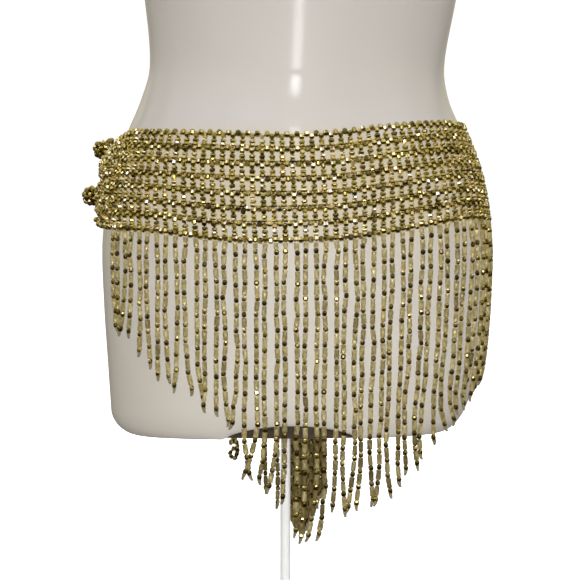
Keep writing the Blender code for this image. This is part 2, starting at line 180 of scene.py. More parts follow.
GATHERED_COLUMNS = 7.0  # each end of the strip is drawn together towards the two balls
GATHERED_MIDDLE_ROW = 3.35  # rows above and below draw in towards this one by their own shares
GATHERED_ABOVE = 0.36
GATHERED_BELOW = 0.10
BUNCH_POWER = 1.5  # how soon that fades away from an end
BUNCH_SHIFT = 0.0013
LOOSE_BEADS = 110  # that ride up over the bunched front end
LOOSE_REACH = 0.85  # of the gathered columns
LOOSE_LIFT = 0.0015  # off the netting's middle, at least
LOOSE_LIFT_BUNCHED = 0.003  # and up to this much more
TIE_STRINGS = 6  # from each ball into the netting
TIE_START = 0.6  # of the ball's neck
TIE_COLUMNS = (3.0, 2.0)  # the nearest column that one ends at, and how much further one may run
TIE_FAN_MIDDLE = 0.7  # rows to each side where they cross the front end
TIE_FAN_END = 1.7  # and where they end
TIE_TOP_ROW = 0.6  # none ends above this row
TIE_LIFT_MIDDLE = 0.0050
TIE_LIFT_END = 0.0030
TIE_BEAD_WIDTH = 0.86  # of a bead's
TIE_PITCH = 0.0039

FRINGE_BEAD_WIDTH = 0.0045
FRINGE_BEAD_LENGTH = 0.0052
FRINGE_BEAD_TILT = 0.2
FRINGE_PITCH = 0.0133
BUGLE_WIDTH = 0.0045
BUGLE_FILL = 0.98  # of the gap between two beads
FIRST_BEAD_DROP = 0.0113  # below the bottom row
FIRST_BEAD_JITTER = 0.0020
STRAND_WOBBLE = 0.00045
TAIL_LENGTH = 0.0042
TAIL_WIDTH = 0.0036
TAIL_START = 0.4  # of a bead's length, below the last bead's middle

# How much a piece's width varies, as the least and the most of it.
NET_WIDTHS = (0.95, 1.03)
FRINGE_WIDTHS = (0.94, 1.06)
BUGLE_WIDTHS = (0.93, 1.08)
TAIL_WIDTHS = (0.9, 1.2)

TONES = {
    # kind of bead: the middle of its tones, and their spread
    "row": (0.58, 0.26),
    "column": (0.50, 0.28),
    "between columns": (0.38, 0.22),
    "bottom row": (0.55, 0.26),
    "bottom between": (0.45, 0.25),
    "loose": (0.5, 0.25),
    "bugle": (0.62, 0.20),
    "fringe": (0.15, 0.22),
    "ball": (0.25, 0.2),
    "tie": (0.6, 0.2),
    "loop": (0.3, 0.25),
}

# Where a strand's tip has swung to, as a part of a column's width, along the belt.
TIP_SWINGS = {
    6: 0.75, 8: -1.0, 9: -0.45, 11: 0.35, 13: 0.3, 15: 0.65, 16: 0.55, 17: -0.35, 19: 0.3, 20: -0.6,
    21: 0.5, 22: -1.6, 23: -0.7, 24: -1.2, 25: -0.5, 26: -0.35, 27: -0.4, 28: -0.85, 29: -0.4, 30: -0.3,
    31: 0.4, 32: -0.6, 33: -0.4, 34: 0.3, 35: -0.4, 36: 0.6, 37: 0.35, 38: 0.3, 39: 0.45, 40: 0.1,
    41: 0.7, 42: 1.2, 43: 1.3, 44: 0.9, 45: 0.8,
}
OTHER_SWING = 0.5  # the most that any other tip has swung
SWING_REACH = 0.055  # the part of a strand that swings

# Back strands that hang together in a hank below the form.
HANK_FIRST = 68
HANK_LAST = 85
HANK_MIDDLE = 0.0095  # its place on X
HANK_PULL = 0.77  # how far a strand is drawn towards that, where 1 is all the way
STRAY_PULLS = {87: 0.78, 88: 0.68, 89: 0.59}  # of the strands that hang loose beside it, by column
HANK_REACH = 0.190  # the fall over which they draw together
HANK_DEPTH = 0.006
BACK_PAINTED_SHADE = 0.25  # painted shade: how much lower the tones of the back strands' bugles are, for the shade that they hang in
LOW_PAINTED_SHADE = 0.40  # painted shade: and how much lower those are on every strand's part below the form

CURLED_STRAND = 86  # its end has curled up into a loop
CURL_START = 0.2130
CURL_HALF_WIDTH = 0.0036
CURL_HALF_HEIGHT = 0.0096
CURL_PITCH = FRINGE_BEAD_LENGTH * 0.72


def smooth_row(table, x):
    """Reads a table at x, with a cubic curve through its rows. The first column is x."""
    last = len(table) - 2
    k = next((i for i in range(last) if x < table[i + 1][0]), last)
    before, start, end, after = (table[min(max(k + d, 0), last + 1)] for d in (-1, 0, 1, 2))
    width = end[0] - start[0]
    f = min(max((x - start[0]) / width, 0.0), 1.0)
    values = []
    for p, a, b, n in zip(before[1:], start[1:], end[1:], after[1:]):
        slope_a = (b - p) * width / max(end[0] - before[0], width)
        slope_b = (n - a) * width / max(after[0] - start[0], width)
        values.append(
            (2 * f**3 - 3 * f**2 + 1) * a
            + (f**3 - 2 * f**2 + f) * slope_a
            + (3 * f**2 - 2 * f**3) * b
            + (f**3 - f**2) * slope_b
        )
    return values


def straight_row(table, x):
    """Reads a two-column table at x, with straight lines between its rows."""
    for (x0, y0), (x1, y1) in zip(table, table[1:]):
        if x <= x1:
            return y0 + (y1 - y0) * (x - x0) / (x1 - x0)
    return table[-1][1]


def section_point(turn, extents, outward):
    """A point of a horizontal section. turn is 0 at +X and a quarter at +Y (the back)."""
    *sizes, shift = extents
    half_width, front, back = (size + outward for size in sizes)
    c, s = math.cos(turn), math.sin(turn)
    power = 2 / SECTION_ROUNDNESS
    depth = back if s > 0 else front
    return Vector(
        (
            shift + half_width * math.copysign(abs(c) ** power, c),
            depth * math.copysign(abs(s) ** power, s),
            0.0,
        )
    )


def torso_point(turn, height, outward=0.0):
    point = section_point(turn, smooth_row(TORSO_SECTIONS, height), outward)
    point.z = height
    return point


def turn_table():
    """The turn at equal steps of arc length round the belt, from the hip line at -X, by the front."""
    fine = 720  # steps to add up the length of
    turns = [math.pi + 2 * math.pi * k / fine for k in range(fine + 1)]
    points = [torso_point(turn, EVEN_HEIGHT, NET_OFFSET) for turn in turns]
    run = [0.0]
    for a, b in zip(points, points[1:]):
        run.append(run[-1] + (b - a).length)
    table, k = [], 0
    for step in range(COLUMNS_AROUND + 1):
        goal = run[-1] * step / COLUMNS_AROUND
        while k < fine - 1 and run[k + 1] < goal:
            k += 1
        share = (goal - run[k]) / (run[k + 1] - run[k])
        table.append((step, turns[k] + share * (turns[k + 1] - turns[k])))
    return table


TURNS = turn_table()


def column_turn(column, row):
    at_top, at_bottom = smooth_row(COLUMN_DRIFT, column)
    return straight_row(TURNS, column + at_top + (at_bottom - at_top) * row / (ROWS - 1))


def row_height(column, row):
    top, bottom = smooth_row(BELT_LINE, column)
    return top + (bottom - top) * row / (ROWS - 1)


def flare(column, row):
    """How much further off the form the front end of the strip stands."""
    share = max(0.0, 1.0 - (column + END_MARGIN) / FLARE_COLUMNS)
    low = min(max(int(row), 0), ROWS - 2)
    at_end = FLARE_BY_ROW[low] + (FLARE_BY_ROW[low + 1] - FLARE_BY_ROW[low]) * (row - low)
    return at_end * share * share * (3 - 2 * share)


def bunch(column):
    """How tightly the strip is drawn together at a column, from 1 at its ends to 0."""
    from_end = min(column, LAST_COLUMN - column)
    return min(1.0, max(0.0, 1.0 - from_end / GATHERED_COLUMNS)) ** BUNCH_POWER


def net_point(column, row, outward=0.0, rise=0.0):
    """A point on the netting's middle surface, moved outward and up."""
    gathered = GATHERED_ABOVE if row < GATHERED_MIDDLE_ROW else GATHERED_BELOW
    row = GATHERED_MIDDLE_ROW + (row - GATHERED_MIDDLE_ROW) * (1 - gathered * bunch(column))
    turn = column_turn(column, row)
    height = row_height(column, row) + rise
    return torso_point(turn, height, NET_OFFSET + flare(column, row) + outward)


def jitter(column, channel):
    """An even spread of values from -1 to 1, the same for a column and a channel each time."""
    # Steps of the golden ratio and the root of two, less one, which never fall into a pattern.
    return 2 * ((column * 0.618034 + channel * 0.414214 + 0.137 * channel * column) % 1.0) - 1


def strand_length(column):
    return straight_row(FRINGE_OUTLINE, column) + LENGTH_JITTER * jitter(column, 1)


def strand_point(column, down):
    """A point on a strand, a distance down from the bottom row, and the way along the belt there."""
    turn = column_turn(column, ROWS - 1)
    root = row_height(column, ROWS - 1)
    height = root - down
    steps = 8
    passed = [
        smooth_row(TORSO_SECTIONS, max(TORSO_BOTTOM, root - down * k / steps)) for k in range(steps + 1)
    ]
    side = math.cos(turn)
    hug = HIP_HUG * max(0.0, side) ** 2
    # It hangs off the widest section that it has passed, and the last of a section's values is a shift.
    widest = [max(values) for values in zip(*passed)]
    widest[-1] = passed[0][-1]
    fall = [wide + (local - wide) * hug for wide, local in zip(widest, passed[-1])]
    point = section_point(turn, fall, NET_OFFSET + flare(column, ROWS - 1))
    after, before = (section_point(turn + d, fall, NET_OFFSET) for d in (TURN_STEP, -TURN_STEP))
    tangent = (after - before).normalized()
    lean = -LEAN_LEFT_HIP * side if side > 0 else -LEAN_RIGHT_HIP * side
    ends_at = strand_length(column)
    side_of_pair = 1 if (column + (column > LONE_STRAND)) % 2 == 0 else -1
    partner = 0.0 if column == LONE_STRAND else PAIR_PULL * side_of_pair
    ease = min(1.0, down / PAIR_DROP)
    wave = SWAY * math.sin(2 * math.pi * (down / SWAY_LENGTH + jitter(column, 2)))
    curl = TIP_CURL * jitter(column, 3) * max(0.0, 1.0 + (down - ends_at) / TIP_REACH) ** 2
    across = partner * ease + wave * ease + curl
    point += tangent * across
    point.x += lean * down * abs(math.sin(turn))
    point.z = height
    return point, tangent


# ------------------------ making pieces


def make_object(name, bm, finish, smooth=True, sharp_degrees=35):
    mesh = bpy.data.meshes.new(name)
    bm.to_mesh(mesh)
    bm.free()
    if finish is not None:
        mesh.materials.append(finish)
    if smooth:
        mesh.shade_smooth()
        mesh.set_sharp_from_angle(angle=math.radians(sharp_degrees))
    obj = bpy.data.objects.new(name, mesh)
    bpy.context.scene.collection.objects.link(obj)
    return obj


def settle(piece, node):
    """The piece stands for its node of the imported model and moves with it."""
    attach(piece, "root")
    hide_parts(node)
    return piece


def grid_surface(bm, around, along, place):
    """A grid whose first direction closes on itself; place(u, v) gives each vertex."""
    made = bmesh.ops.create_grid(bm, x_segments=around, y_segments=along, size=0.5)
    for vert in made["verts"]:
        u = round((vert.co.x + 0.5) * around) % around
        v = round((vert.co.y + 0.5) * along)
        vert.co = place(u, v)
    bmesh.ops.remove_doubles(bm, verts=bm.verts, dist=1e-7)
    bmesh.ops.holes_fill(bm, edges=bm.edges, sides=0)
    bmesh.ops.recalc_face_normals(bm, faces=bm.faces)


def quarter_round(radius, steps):
    """(inset, drop) pairs round a quarter circle, from the edge of a flat end to the wall."""
    return [
        (radius * (1 - math.sin(a)), radius * (1 - math.cos(a)))
        for a in (math.pi / 2 * k / steps for k in range(steps + 1))
    ]


# ------------------------ finishes


class Recipe:
    """The nodes of a material or of the room, being put together."""

    def __init__(self, owner):
        owner.use_nodes = True
        self.nodes = owner.node_tree.nodes
        self.link = owner.node_tree.links.new

    def node(self, kind):
        return self.nodes.new("ShaderNode" + kind)

    def place(self):
        """Where a point is on its piece."""
        return self.node("TexCoord").outputs["Object"]

    def height(self):
        """How high a point is on its piece."""
        split = self.node("SeparateXYZ")
        self.link(self.place(), split.inputs["Vector"])
        return split.outputs["Z"]

    def noise(self, scale, detail, place=None):
        made = self.node("TexNoise")
        made.inputs["Scale"].default_value = scale
        made.inputs["Detail"].default_value = detail
        self.link(self.place() if place is None else place, made.inputs["Vector"])
        return made.outputs["Fac"]

    def stretch(self, sizes):
        """Where a point is on its piece, with each axis stretched by its own size."""
        made = self.node("Mapping")
        made.inputs["Scale"].default_value = sizes
        self.link(self.place(), made.inputs["Vector"])
        return made.outputs["Vector"]

    def ramp(self, value, stops):
        """The colour that the stops give for a value."""
        made = self.node("ValToRGB")
        elements = made.color_ramp.elements
        while len(elements) < len(stops):
            elements.new(0.5)
        for element, (position, colour) in zip(elements, stops):
            element.position = position
            element.color = (*colour, 1.0)
        self.link(value, made.inputs["Fac"])
        return made.outputs["Color"]

    def multiply(self, colour, other):
        """The product of two colours."""
        first, second, result = 6, 7, 2  # a Mix node's colour sockets share their names with others
        both = self.node("Mix")
        both.data_type = "RGBA"
        both.blend_type = "MULTIPLY"
        both.inputs["Factor"].default_value = 1.0
        self.link(colour, both.inputs[first])
        self.link(other, both.inputs[second])
        return both.outputs[result]

    def map_range(self, value, **limits):
        """The value, moved from one range to another."""
        made = self.node("MapRange")
        set_values(made, limits)
        self.link(value, made.inputs["Value"])
        return made.outputs["Result"]


class Finish(Recipe):
    """A material whose uniform values are set on the shader itself."""

    def __init__(self, name, **values):
        self.material = bpy.data.materials.new(name)
        super().__init__(self.material)
        self.shader = self.nodes["Principled BSDF"]
        set_values(self.shader, values)

    def feed(self, source, label):
        self.link(source, self.shader.inputs[label])

    def bump(self, height, strength, distance):
        made = self.node("Bump")
        set_values(made, {"strength": strength, "distance": distance})
        self.link(height, made.inputs["Height"])
        self.feed(made.outputs["Normal"], "Normal")


def set_values(node, values):
    """Sets a node's sockets; coat_roughness stands for the socket Coat Roughness."""
    for label, value in values.items():
        node.inputs[label.replace("_", " ").title()].default_value = value


FORM_PAINTED_GLOW_AND_SHADE = [
    # height, colour: a painted warm glow under the netting and fringe for gold light thrown back by the
    # beads, a painted shadow of the netting from 0.36 to 0.42, and painted shade that darkens it towards
    # the top
    (0.30, (1.000, 0.995, 0.940)),
    (0.34, (0.985, 0.970, 0.895)),
    (0.36, (0.955, 0.905, 0.710)),
    (0.42, (0.970, 0.920, 0.720)),
    (0.44, (1.000, 1.000, 1.000)),
    (0.50, (0.955, 0.955, 0.945)),
    (0.60, (0.905, 0.905, 0.890)),
]


def form_finish():
    """Glossy off-white moulded plastic, which belts have dulled. Its colour holds painted light: a
    painted warm glow for gold light thrown back by the beads, the netting's painted shadow, and painted
    shade towards the top.
    """
    finish = Finish("glossy off-white plastic", roughness=0.38, coat_roughness=0.10)
    clouds = finish.ramp(
        finish.noise(9.0, 2.0), [(0.3, (0.570, 0.533, 0.495)), (0.7, (0.600, 0.563, 0.530))]
    )
    height = finish.height()
    # Painted light: the plastic's colour is multiplied by a painted warm glow, the netting's painted
    # shadow and painted shade towards the top.
    finish.feed(finish.multiply(clouds, finish.ramp(height, FORM_PAINTED_GLOW_AND_SHADE)), "Base Color")
    rubbed = finish.map_range(height, from_min=0.425, from_max=0.445, to_min=0.12, to_max=0.6)
    finish.feed(rubbed, "Coat Weight")
    finish.bump(finish.noise(22.0, 1.0), 0.04, 0.002)
    return finish.material


def tone_of(finish):
    """How light a bead is, from 0 to 1: each bead carries its own value."""
    tone = finish.node("Attribute")
    tone.attribute_name = "tone"
    return tone.outputs["Fac"]


BEAD_COLOURS = [
    # tone, colour
    (0.00, (0.20, 0.15, 0.045)),
    (0.30, (0.48, 0.40, 0.14)),
    (0.55, (0.65, 0.55, 0.225)),
    (0.75, (0.74, 0.60, 0.33)),
    (1.00, (1.00, 0.95, 0.80)),
]
BUGLE_COLOURS = [
    # tone, colour
    (0.00, (0.20, 0.15, 0.055)),
    (0.35, (0.44, 0.37, 0.17)),
    (0.60, (0.54, 0.46, 0.21)),
    (0.80, (0.58, 0.485, 0.25)),
    (1.00, (0.66, 0.58, 0.32)),
]


def bead_finish():
    """A bright greenish-gold metal coat that varies from bead to bead."""
    finish = Finish("gold coated bead", roughness=0.13, metallic=1.0)
    finish.feed(finish.ramp(tone_of(finish), BEAD_COLOURS), "Base Color")
    return finish.material


def bugle_finish():
    """Translucent pale gold glass with a little lustre."""
    finish = Finish(
        "pale gold bugle", roughness=0.30, metallic=0.50, coat_weight=0.3, coat_roughness=0.2
    )
    glass = finish.ramp(tone_of(finish), BUGLE_COLOURS)
    lining = finish.ramp(finish.noise(280.0, 1.0), [(0.36, (0.66, 0.62, 0.55)), (0.62, (1.1, 1.1, 1.1))])
    finish.feed(finish.multiply(glass, lining), "Base Color")
    return finish.material


def tail_finish():
    """The frayed thread end below the last bead."""
    finish = Finish("thread end", roughness=0.6)
    fibres = finish.noise(900.0, 2.0)
    colour = finish.ramp(fibres, [(0.3, (0.13, 0.10, 0.05)), (0.7, (0.32, 0.27, 0.17))])
    finish.feed(colour, "Base Color")
    return finish.material


def plate_finish():
    """Board with its grain along X, coloured near black as painted shade for the shadowed hollow in the
    form's bottom.
    """
    finish = Finish("dark stained board", roughness=0.6)
    grain = finish.noise(5.0, 6.0, finish.stretch((6.0, 60.0, 60.0)))
    # Painted shade: the near-black colour stands in for the shade inside the form's hollow bottom.
    grain_dark_as_painted_shade = finish.ramp(grain, [(0.3, (0.024, 0.014, 0.007)), (0.7, (0.060, 0.037, 0.019))])
    finish.feed(grain_dark_as_painted_shade, "Base Color")
    finish.bump(grain, 0.3, 0.0005)
    return finish.material


def enamel_finish():
    """White enamel on steel, with the faint orange peel of a sprayed coat."""
    finish = Finish("white enamel", roughness=0.3)
    patches = finish.noise(14.0, 3.0)
    colour = finish.ramp(patches, [(0.3, (0.87, 0.87, 0.86)), (0.7, (0.92, 0.92, 0.91))])
    finish.feed(colour, "Base Color")
    finish.bump(finish.noise(700.0, 1.0), 0.08, 0.0003)
    return finish.material


# ------------------------ the form and its stand


def rim_point(turn, height, extra_inset):
    """A point inside the rim: as far in as its rounding reaches, and extra_inset further."""
    half_width, front, back, shift = smooth_row(TORSO_SECTIONS, height)
    side_inset, front_inset = RIM_INSET_SIDE + extra_inset, RIM_INSET_FRONT + extra_inset
    extents = (half_width - side_inset, front - front_inset, back - front_inset, shift)
    point = section_point(turn, extents, 0.0)
    point.z = height
    return point


def arched(point, above_rim):
    """The point, lifted where the front rim arches up."""
    if point.y < 0:
        arch = max(0.0, 1.0 - ((point.x - ARCH_MIDDLE) / ARCH_HALF_WIDTH) ** 2)
        follow = max(0.0, 1.0 - above_rim / ARCH_REACH)
        point.z += ARCH_HEIGHT * arch**ARCH_FULLNESS * follow
    return point


def make_torso(finish):
    wall_top = TORSO_TOP - TOP_EDGE_RADIUS
    rings = [("top", inset, drop) for inset, drop in quarter_round(TOP_EDGE_RADIUS, TOP_EDGE_STEPS)]
    rings += [("wall", 0.0, k / TORSO_WALL_RINGS) for k in range(1, TORSO_WALL_RINGS)]
    rings += [("rim", inset, level) for inset, level in reversed(quarter_round(1.0, RIM_STEPS))]
    rings += [("lip", RIM_FLAT, 0.0), ("ceiling", 2 * RIM_FLAT, 0.0)]

    def place(u, v):
        zone, inset, level = rings[v]
        turn = 2 * math.pi * u / TORSO_SIDES
        share = (1 + math.cos(turn)) / 2
        bottom = TORSO_BOTTOM - LOW_HIP_DROP * (1 - share) ** LOW_HIP_POWER
        rim_height = RIM_HEIGHT_LOW_HIP + (RIM_HEIGHT_HIGH_HIP - RIM_HEIGHT_LOW_HIP) * share
        if zone == "top":
            return torso_point(turn, TORSO_TOP - level, -inset)
        if zone == "ceiling":
            return rim_point(turn, TORSO_BOTTOM + RECESS_DEPTH, inset)
        if zone == "wall":
            height = wall_top + (bottom + rim_height - wall_top) * level
            point = torso_point(turn, height)
        elif zone == "rim":
            height = bottom + rim_height * level
            wall = torso_point(turn, height)
            point = wall + (rim_point(turn, height, 0.0) - wall) * inset
        else:
            height = bottom
            point = rim_point(turn, height, inset)
        return arched(point, height - bottom)

    bm = bmesh.new()
    grid_surface(bm, TORSO_SIDES, len(rings) - 1, place)
    torso = make_object("torso_shell", bm, finish, sharp_degrees=50)
    return settle(torso, "torso_form")


def make_plate(finish):
    heights = (TORSO_BOTTOM + RECESS_DEPTH - SEAM_GAP, PLATE_BOTTOM)

    def place(u, v):
        point = rim_point(2 * math.pi * u / TORSO_SIDES, heights[0], 2 * RIM_FLAT + PLATE_CLEARANCE)
        point.z = heights[v]
        return point

    bm = bmesh.new()
    grid_surface(bm, TORSO_SIDES, 1, place)
    plate = make_object("base_board", bm, finish)
    return settle(plate, "base_plate")


def make_post(name, node, finish, radius, sides, low, high, bevel=0.0):
    """An upright bar or disc, whose top edge may be rounded."""
    bm = bmesh.new()
    bmesh.ops.create_cone(
        bm, cap_ends=True, segments=sides, radius1=radius, radius2=radius, depth=high - low
    )
    if bevel:
        rim = [e for e in bm.edges if all(v.co.z > 0 for v in e.verts)]
        bmesh.ops.bevel(
            bm, geom=rim, offset=bevel, offset_type="OFFSET", segments=5, profile=0.5,
            affect="EDGES", material=-1,
        )
    bmesh.ops.translate(bm, verts=bm.verts, vec=(STAND_MIDDLE, 0, (low + high) / 2))
    settle(make_object(name, bm, finish), node)


def make_stand(finish):
    disc = (DISC_RADIUS, DISC_SIDES, 0.0, DISC_THICKNESS, DISC_BEVEL)
    pole = (POLE_RADIUS, POLE_SIDES, DISC_THICKNESS + SEAM_GAP, PLATE_BOTTOM - SEAM_GAP)
    make_post("foot_disc", "stand_disc", finish, *disc)
    make_post("foot_pole", "stand_pole", finish, *pole)


# ------------------------ strung beads


class Stringing:
    """Gathers beads of one shape: where each sits, how it is turned, its size and its tone."""

    def __init__(self, shape):
        self.shape = shape
        self.places, self.turns, self.sizes, self.tones = [], [], [], []

    def add(self, place, axis, width, length, tone=0.0, tilt=0.0):
        """axis is the way its hole runs; tilt is the most that it may lean from that."""
        axis = Vector(axis)
        if tilt:
            axis = axis.normalized() + Vector([rng.uniform(-tilt, tilt) for _ in range(3)])
        upright = Vector((0, 0, 1)).rotation_difference(axis)
        spin = Matrix.Rotation(rng.uniform(0, 2 * math.pi), 3, "Z")
        self.places.append(place)
        self.turns.append((upright.to_matrix() @ spin).to_euler())
        self.sizes.append((width, width, length))
        self.tones.append(tone)

    def make(self, name):
        """One mesh with a copy of the shape at each place."""
        bm = bmesh.new()
        for place in self.places:
            bm.verts.new(place)
        points = make_object(name, bm, None, smooth=False)
        for label, kind, values in (
            ("turn", "FLOAT_VECTOR", self.turns),
            ("size", "FLOAT_VECTOR", self.sizes),
        ):
            attribute = points.data.attributes.new(label, kind, "POINT")
            attribute.data.foreach_set("vector", [number for value in values for number in value])
        points.data.attributes.new("tone", "FLOAT", "POINT").data.foreach_set("value", self.tones)
        copies = points.modifiers.new("copies", "NODES")
        copies.node_group = copies_tree(self.shape)
        seen = points.evaluated_get(bpy.context.evaluated_depsgraph_get())
        mesh = bpy.data.meshes.new_from_object(seen)
        mesh.name = name
        bpy.data.objects.remove(points, do_unlink=True)
        obj = bpy.data.objects.new(name, mesh)
        bpy.context.scene.collection.objects.link(obj)
        return obj


def copies_tree(shape):
    """Geometry nodes that put a copy of the shape on each point and make them one mesh."""
    tree = bpy.data.node_groups.new("copies", "GeometryNodeTree")
    tree.interface.new_socket("Geometry", in_out="INPUT", socket_type="NodeSocketGeometry")
    tree.interface.new_socket("Geometry", in_out="OUTPUT", socket_type="NodeSocketGeometry")
    nodes, link = tree.nodes, tree.links.new
    start, end = nodes.new("NodeGroupInput"), nodes.new("NodeGroupOutput")
    info = nodes.new("GeometryNodeObjectInfo")
    info.inputs["Object"].default_value = shape
    place = nodes.new("GeometryNodeInstanceOnPoints")
    turn, size = (nodes.new("GeometryNodeInputNamedAttribute") for _ in range(2))
    for node, label in ((turn, "turn"), (size, "size")):
        node.data_type = "FLOAT_VECTOR"
        node.inputs["Name"].default_value = label
    as_rotation = nodes.new("FunctionNodeEulerToRotation")
    real = nodes.new("GeometryNodeRealizeInstances")
    link(start.outputs["Geometry"], place.inputs["Points"])
    link(info.outputs["Geometry"], place.inputs["Instance"])
    link(turn.outputs["Attribute"], as_rotation.inputs["Euler"])
    link(as_rotation.outputs["Rotation"], place.inputs["Rotation"])
    link(size.outputs["Attribute"], place.inputs["Scale"])
    link(place.outputs["Instances"], real.inputs["Geometry"])
    link(real.outputs["Geometry"], end.inputs["Geometry"])
    return tree


def bead_shape(finish):
    """A faceted bead of unit width and length, fuller towards its ends than a sphere."""
    bm = bmesh.new()
    bmesh.ops.create_uvsphere(bm, u_segments=7, v_segments=5, radius=0.5)
    for vert in bm.verts:
        reach = 2 * math.hypot(vert.co.x, vert.co.y)
        if reach > 0.01:
            vert.co.xy *= reach ** (BEAD_FULLNESS - 1)
    return make_object("bead shape", bm, finish, smooth=False)


def unit_tube(segments, low_radius):
    """A closed tube of unit width and length, in three lengths so that it can twist or bend."""
    bm = bmesh.new()
    bmesh.ops.create_cone(
        bm, cap_ends=True, segments=segments, radius1=low_radius, radius2=0.5, depth=1.0
    )
    sides = [e for e in bm.edges if abs(e.verts[0].co.z - e.verts[1].co.z) > 0.5]
    bmesh.ops.subdivide_edges(bm, edges=sides, cuts=2)
    return bm


def bugle_shape(finish):
    """A twisted six-sided tube of unit width and length."""
    bm = unit_tube(6, 0.5)
    twist = math.radians(110)
    for vert in bm.verts:
        vert.co = Matrix.Rotation(twist * vert.co.z, 3, "Z") @ vert.co
    return make_object("bugle shape", bm, finish, smooth=False)


def tail_shape(finish):
    """A frayed end of unit width and length that narrows and bends."""
    bm = unit_tube(5, 0.28)
    for vert in bm.verts:
        vert.co.x += 0.35 * (0.5 - vert.co.z) ** 2
    return make_object("tail shape", bm, finish, smooth=False)


def tone_of_one(kind, painted_shade=0.0):
    """A tone for one bead of a kind, made darker by any painted shade."""
    middle, spread = TONES[kind]
    return min(1.0, max(0.0, rng.gauss(middle - painted_shade, spread)))


def tangled(point, column):
    """The point, pushed about a little where the strip is bunched."""
    much = BUNCH_SHIFT * bunch(column)
    if much:
        point = point + Vector([rng.uniform(-much, much) for _ in range(3)])
    return point


def add_net_bead(beads, column, row, along, rise, tone):
    """A bead of the netting; along says whether its hole runs along the belt or down it."""
    ahead, behind = (
        (net_point(column + 0.5, row), net_point(column - 0.5, row))
        if along
        else (net_point(column, row + AXIS_REACH), net_point(column, row - AXIS_REACH))
    )
    axis = ahead - behind
    if along:
        least, most = ROW_BEAD_LENGTHS
        width, length = ROW_BEAD_WIDTH, max(least, min(most, axis.length - ROW_BEAD_SHORTER))
    else:
        share = (axis.length / (2 * AXIS_REACH) - ROW_BEAD_WIDTH) / COLUMN_BEADS
        width, length = COLUMN_BEAD_WIDTH, max(COLUMN_BEAD_LEAST, share * COLUMN_BEAD_FILL)
    point = tangled(net_point(column, row, rise=rise), column)
    tilt = BEAD_TILT + BUNCHED_TILT * bunch(column)
    beads.add(point, axis, width * rng.uniform(*NET_WIDTHS), length, tone, tilt)


def add_loose_bead(beads):
    """A bead that rides on the bunched front end, lying any way."""
    column = rng.uniform(-END_MARGIN, GATHERED_COLUMNS * LOOSE_REACH)
    row = rng.uniform(0.2, ROWS - 1.2)
    most = LOOSE_LIFT + LOOSE_LIFT_BUNCHED * bunch(column)
    point = net_point(column, row, outward=rng.uniform(LOOSE_LIFT, most))
    way = net_point(column + 0.3, row) - net_point(column - 0.3, row + rng.uniform(-0.5, 0.5))
    beads.add(point, way, BEAD_WIDTH * 0.9, BEAD_WIDTH * 0.85, tone_of_one("loose"), 0.5)


def let_light_past(piece):
    """Loose strung glass hardly darkens what it hangs on."""
    piece.visible_shadow = False
    piece.visible_diffuse = False


def make_net(shape):
    """Three beads to a row's height down each column, and one from column to column in each row."""
    beads = Stringing(shape)
    for column in range(LAST_COLUMN + 1):
        pitch = row_height(column, 0) - row_height(column, 1)
        first = (ZIGZAG + ROW_BEAD_WIDTH / 2) / pitch
        step = (1 - ROW_BEAD_WIDTH / pitch) / COLUMN_BEADS
        for row in range(ROWS - 1):
            add_net_bead(beads, column, row, True, -ZIGZAG, tone_of_one("row"))
            for k in range(COLUMN_BEADS):
                down = first + step * (k + 0.5)
                add_net_bead(beads, column, row + down, False, 0.0, tone_of_one("column"))
    for column in range(LAST_COLUMN):
        for row in range(ROWS - 1):
            add_net_bead(beads, column + 0.5, row, True, ZIGZAG, tone_of_one("between columns"))
    for _ in range(LOOSE_BEADS):
        add_loose_bead(beads)
    net = beads.make("bead_netting")
    let_light_past(net)
    return settle(net, "net_band")


def curl_points():
    """Equal steps round the curled strand's loop, from where it starts to turn."""
    start, _ = strand_point(CURLED_STRAND, CURL_START)
    points, fine = [], 200  # small steps, of which some get a bead
    for k in range(1, fine):
        angle = 2 * math.pi * k / fine
        across, fall = CURL_HALF_WIDTH * (1 - math.cos(angle)), CURL_HALF_HEIGHT * math.sin(angle)
        point = start + Vector((across, 0.0, -fall))
        if (point - (points[-1] if points else start)).length >= CURL_PITCH:
            points.append(point)
    return points


def strand_beads(column):
    """The centres of a strand's beads, and its tip below the last of them."""
    length = CURL_START if column == CURLED_STRAND else strand_length(column)
    first = FIRST_BEAD_DROP + rng.uniform(-1, 1) * FIRST_BEAD_JITTER
    last = length - TAIL_LENGTH - FRINGE_BEAD_LENGTH / 2
    steps = max(1, round((last - first) / FRINGE_PITCH))
    drops = [first + (last - first) * k / steps for k in range(steps + 1)]
    pitch = (net_point(column + 0.5, ROWS - 1) - net_point(column - 0.5, ROWS - 1)).length
    swing = TIP_SWINGS.get(column, rng.uniform(-OTHER_SWING, OTHER_SWING)) * pitch
    points = []
    for drop in drops + [length]:
        point, tangent = strand_point(column, drop)
        share = max(0.0, 1.0 + (drop - length) / SWING_REACH)
        point += tangent * (STRAND_WOBBLE * rng.gauss(0, 1) + swing * share**2)
        if HANK_FIRST <= column <= HANK_LAST or column in STRAY_PULLS:
            share = min(1.0, drop / HANK_REACH)
            share *= share * (3 - 2 * share)
            pull = STRAY_PULLS.get(column, HANK_PULL)
            point.x += (HANK_MIDDLE - point.x) * pull * share
            point.y += HANK_DEPTH * jitter(column, 4) * share
        points.append(point)
    if column == CURLED_STRAND:
        points += curl_points()
    return points


